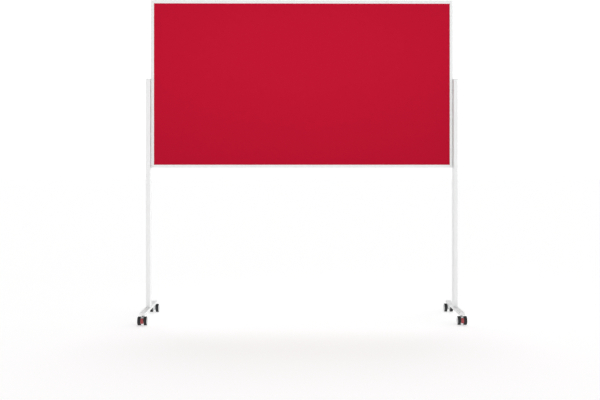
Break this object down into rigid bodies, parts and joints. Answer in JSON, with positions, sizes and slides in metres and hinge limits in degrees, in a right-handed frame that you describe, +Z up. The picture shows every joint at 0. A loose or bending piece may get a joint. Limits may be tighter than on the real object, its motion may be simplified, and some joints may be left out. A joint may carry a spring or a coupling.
{
  "type": "mobile revolving display board",
  "caption": "Landscape red felt pinboard with a white writing back in a slim frame, revolving between two uprights on castored foot bars.",
  "frame": {"origin": "on the floor, midway between the four castors, under the board's centre", "axes": "+Z up; X runs along the board, +X to the right when facing the felt; the felt faces -Y"},
  "size_m": [1.8906, 0.512, 1.9],
  "materials": {
    "frame_white": "satin",
    "stand_white": "satin",
    "cap_white": "satin",
    "felt_red": "matte",
    "core_board": "matte",
    "sheet_white": "gloss",
    "key_grey": "matte",
    "steel": "satin",
    "bush_grey": "satin",
    "castor_grey": "satin",
    "tyre_black": "matte",
    "brake_red": "satin"
  },
  "bodies": {
    "stand": {"upright_left": "stand_white", "upright_cap_left": "cap_white", "foot_insert_left": "steel", "foot_screw_left": "steel", "foot_bar_left": "stand_white", "pivot_bush_left": "bush_grey", "pivot_cover_left": "cap_white", "upright_right": "stand_white", "upright_cap_right": "cap_white", "foot_insert_right": "steel", "foot_screw_right": "steel", "foot_bar_right": "stand_white", "pivot_bush_right": "bush_grey", "pivot_cover_right": "cap_white", "castor_stem_front_left": "steel", "castor_stem_front_right": "steel", "castor_stem_rear_left": "steel", "castor_stem_rear_right": "steel"},
    "board": {"felt_panel": "felt_red", "board_core": "core_board", "whiteboard_sheet": "sheet_white", "frame_left": "frame_white", "frame_right": "frame_white", "frame_top": "frame_white", "frame_bottom": "frame_white", "corner_key_bottom_left": "key_grey", "corner_key_bottom_right": "key_grey", "corner_key_top_left": "key_grey", "corner_key_top_right": "key_grey", "pivot_nut_left": "steel", "pivot_bolt_left": "steel", "pivot_nut_right": "steel", "pivot_bolt_right": "steel"},
    "castor_front_left": {"castor_housing_front_left": "castor_grey", "castor_axle_front_left": "steel"},
    "wheel_front_left_a": {"tyre_front_left_a": "tyre_black", "hub_front_left_a": "castor_grey"},
    "wheel_front_left_b": {"tyre_front_left_b": "tyre_black", "hub_front_left_b": "castor_grey"},
    "pedal_front_left": {"brake_pedal_front_left": "brake_red"},
    "castor_front_right": {"castor_housing_front_right": "castor_grey", "castor_axle_front_right": "steel"},
    "wheel_front_right_a": {"tyre_front_right_a": "tyre_black", "hub_front_right_a": "castor_grey"},
    "wheel_front_right_b": {"tyre_front_right_b": "tyre_black", "hub_front_right_b": "castor_grey"},
    "pedal_front_right": {"brake_pedal_front_right": "brake_red"},
    "castor_rear_left": {"castor_housing_rear_left": "castor_grey", "castor_axle_rear_left": "steel"},
    "wheel_rear_left_a": {"tyre_rear_left_a": "tyre_black", "hub_rear_left_a": "castor_grey"},
    "wheel_rear_left_b": {"tyre_rear_left_b": "tyre_black", "hub_rear_left_b": "castor_grey"},
    "castor_rear_right": {"castor_housing_rear_right": "castor_grey", "castor_axle_rear_right": "steel"},
    "wheel_rear_right_a": {"tyre_rear_right_a": "tyre_black", "hub_rear_right_a": "castor_grey"},
    "wheel_rear_right_b": {"tyre_rear_right_b": "tyre_black", "hub_rear_right_b": "castor_grey"}
  },
  "joints": [
    {"name": "board_tilt", "type": "hinge", "parent": "stand", "child": "board", "pos_m": [0, 0, 1.4], "axis": [1, 0, 0], "continuous": true},
    {"name": "swivel_front_left", "type": "hinge", "parent": "stand", "child": "castor_front_left", "pos_m": [-0.9165, -0.212, 0], "axis": [0, 0, 1], "continuous": true},
    {"name": "roll_front_left_a", "type": "hinge", "parent": "castor_front_left", "child": "wheel_front_left_a", "pos_m": [-0.9165, -0.231, 0.025], "axis": [1, 0, 0], "continuous": true},
    {"name": "roll_front_left_b", "type": "hinge", "parent": "castor_front_left", "child": "wheel_front_left_b", "pos_m": [-0.9165, -0.231, 0.025], "axis": [1, 0, 0], "continuous": true},
    {"name": "brake_front_left", "type": "hinge", "parent": "castor_front_left", "child": "pedal_front_left", "pos_m": [-0.9165, -0.231, 0.025], "axis": [1, 0, 0], "range_deg": [0, 12]},
    {"name": "swivel_front_right", "type": "hinge", "parent": "stand", "child": "castor_front_right", "pos_m": [0.9165, -0.212, 0], "axis": [0, 0, 1], "continuous": true},
    {"name": "roll_front_right_a", "type": "hinge", "parent": "castor_front_right", "child": "wheel_front_right_a", "pos_m": [0.9165, -0.231, 0.025], "axis": [1, 0, 0], "continuous": true},
    {"name": "roll_front_right_b", "type": "hinge", "parent": "castor_front_right", "child": "wheel_front_right_b", "pos_m": [0.9165, -0.231, 0.025], "axis": [1, 0, 0], "continuous": true},
    {"name": "brake_front_right", "type": "hinge", "parent": "castor_front_right", "child": "pedal_front_right", "pos_m": [0.9165, -0.231, 0.025], "axis": [1, 0, 0], "range_deg": [0, 12]},
    {"name": "swivel_rear_left", "type": "hinge", "parent": "stand", "child": "castor_rear_left", "pos_m": [-0.9165, 0.212, 0], "axis": [0, 0, 1], "continuous": true},
    {"name": "roll_rear_left_a", "type": "hinge", "parent": "castor_rear_left", "child": "wheel_rear_left_a", "pos_m": [-0.9165, 0.231, 0.025], "axis": [1, 0, 0], "continuous": true},
    {"name": "roll_rear_left_b", "type": "hinge", "parent": "castor_rear_left", "child": "wheel_rear_left_b", "pos_m": [-0.9165, 0.231, 0.025], "axis": [1, 0, 0], "continuous": true},
    {"name": "swivel_rear_right", "type": "hinge", "parent": "stand", "child": "castor_rear_right", "pos_m": [0.9165, 0.212, 0], "axis": [0, 0, 1], "continuous": true},
    {"name": "roll_rear_right_a", "type": "hinge", "parent": "castor_rear_right", "child": "wheel_rear_right_a", "pos_m": [0.9165, 0.231, 0.025], "axis": [1, 0, 0], "continuous": true},
    {"name": "roll_rear_right_b", "type": "hinge", "parent": "castor_rear_right", "child": "wheel_rear_right_b", "pos_m": [0.9165, 0.231, 0.025], "axis": [1, 0, 0], "continuous": true}
  ]
}
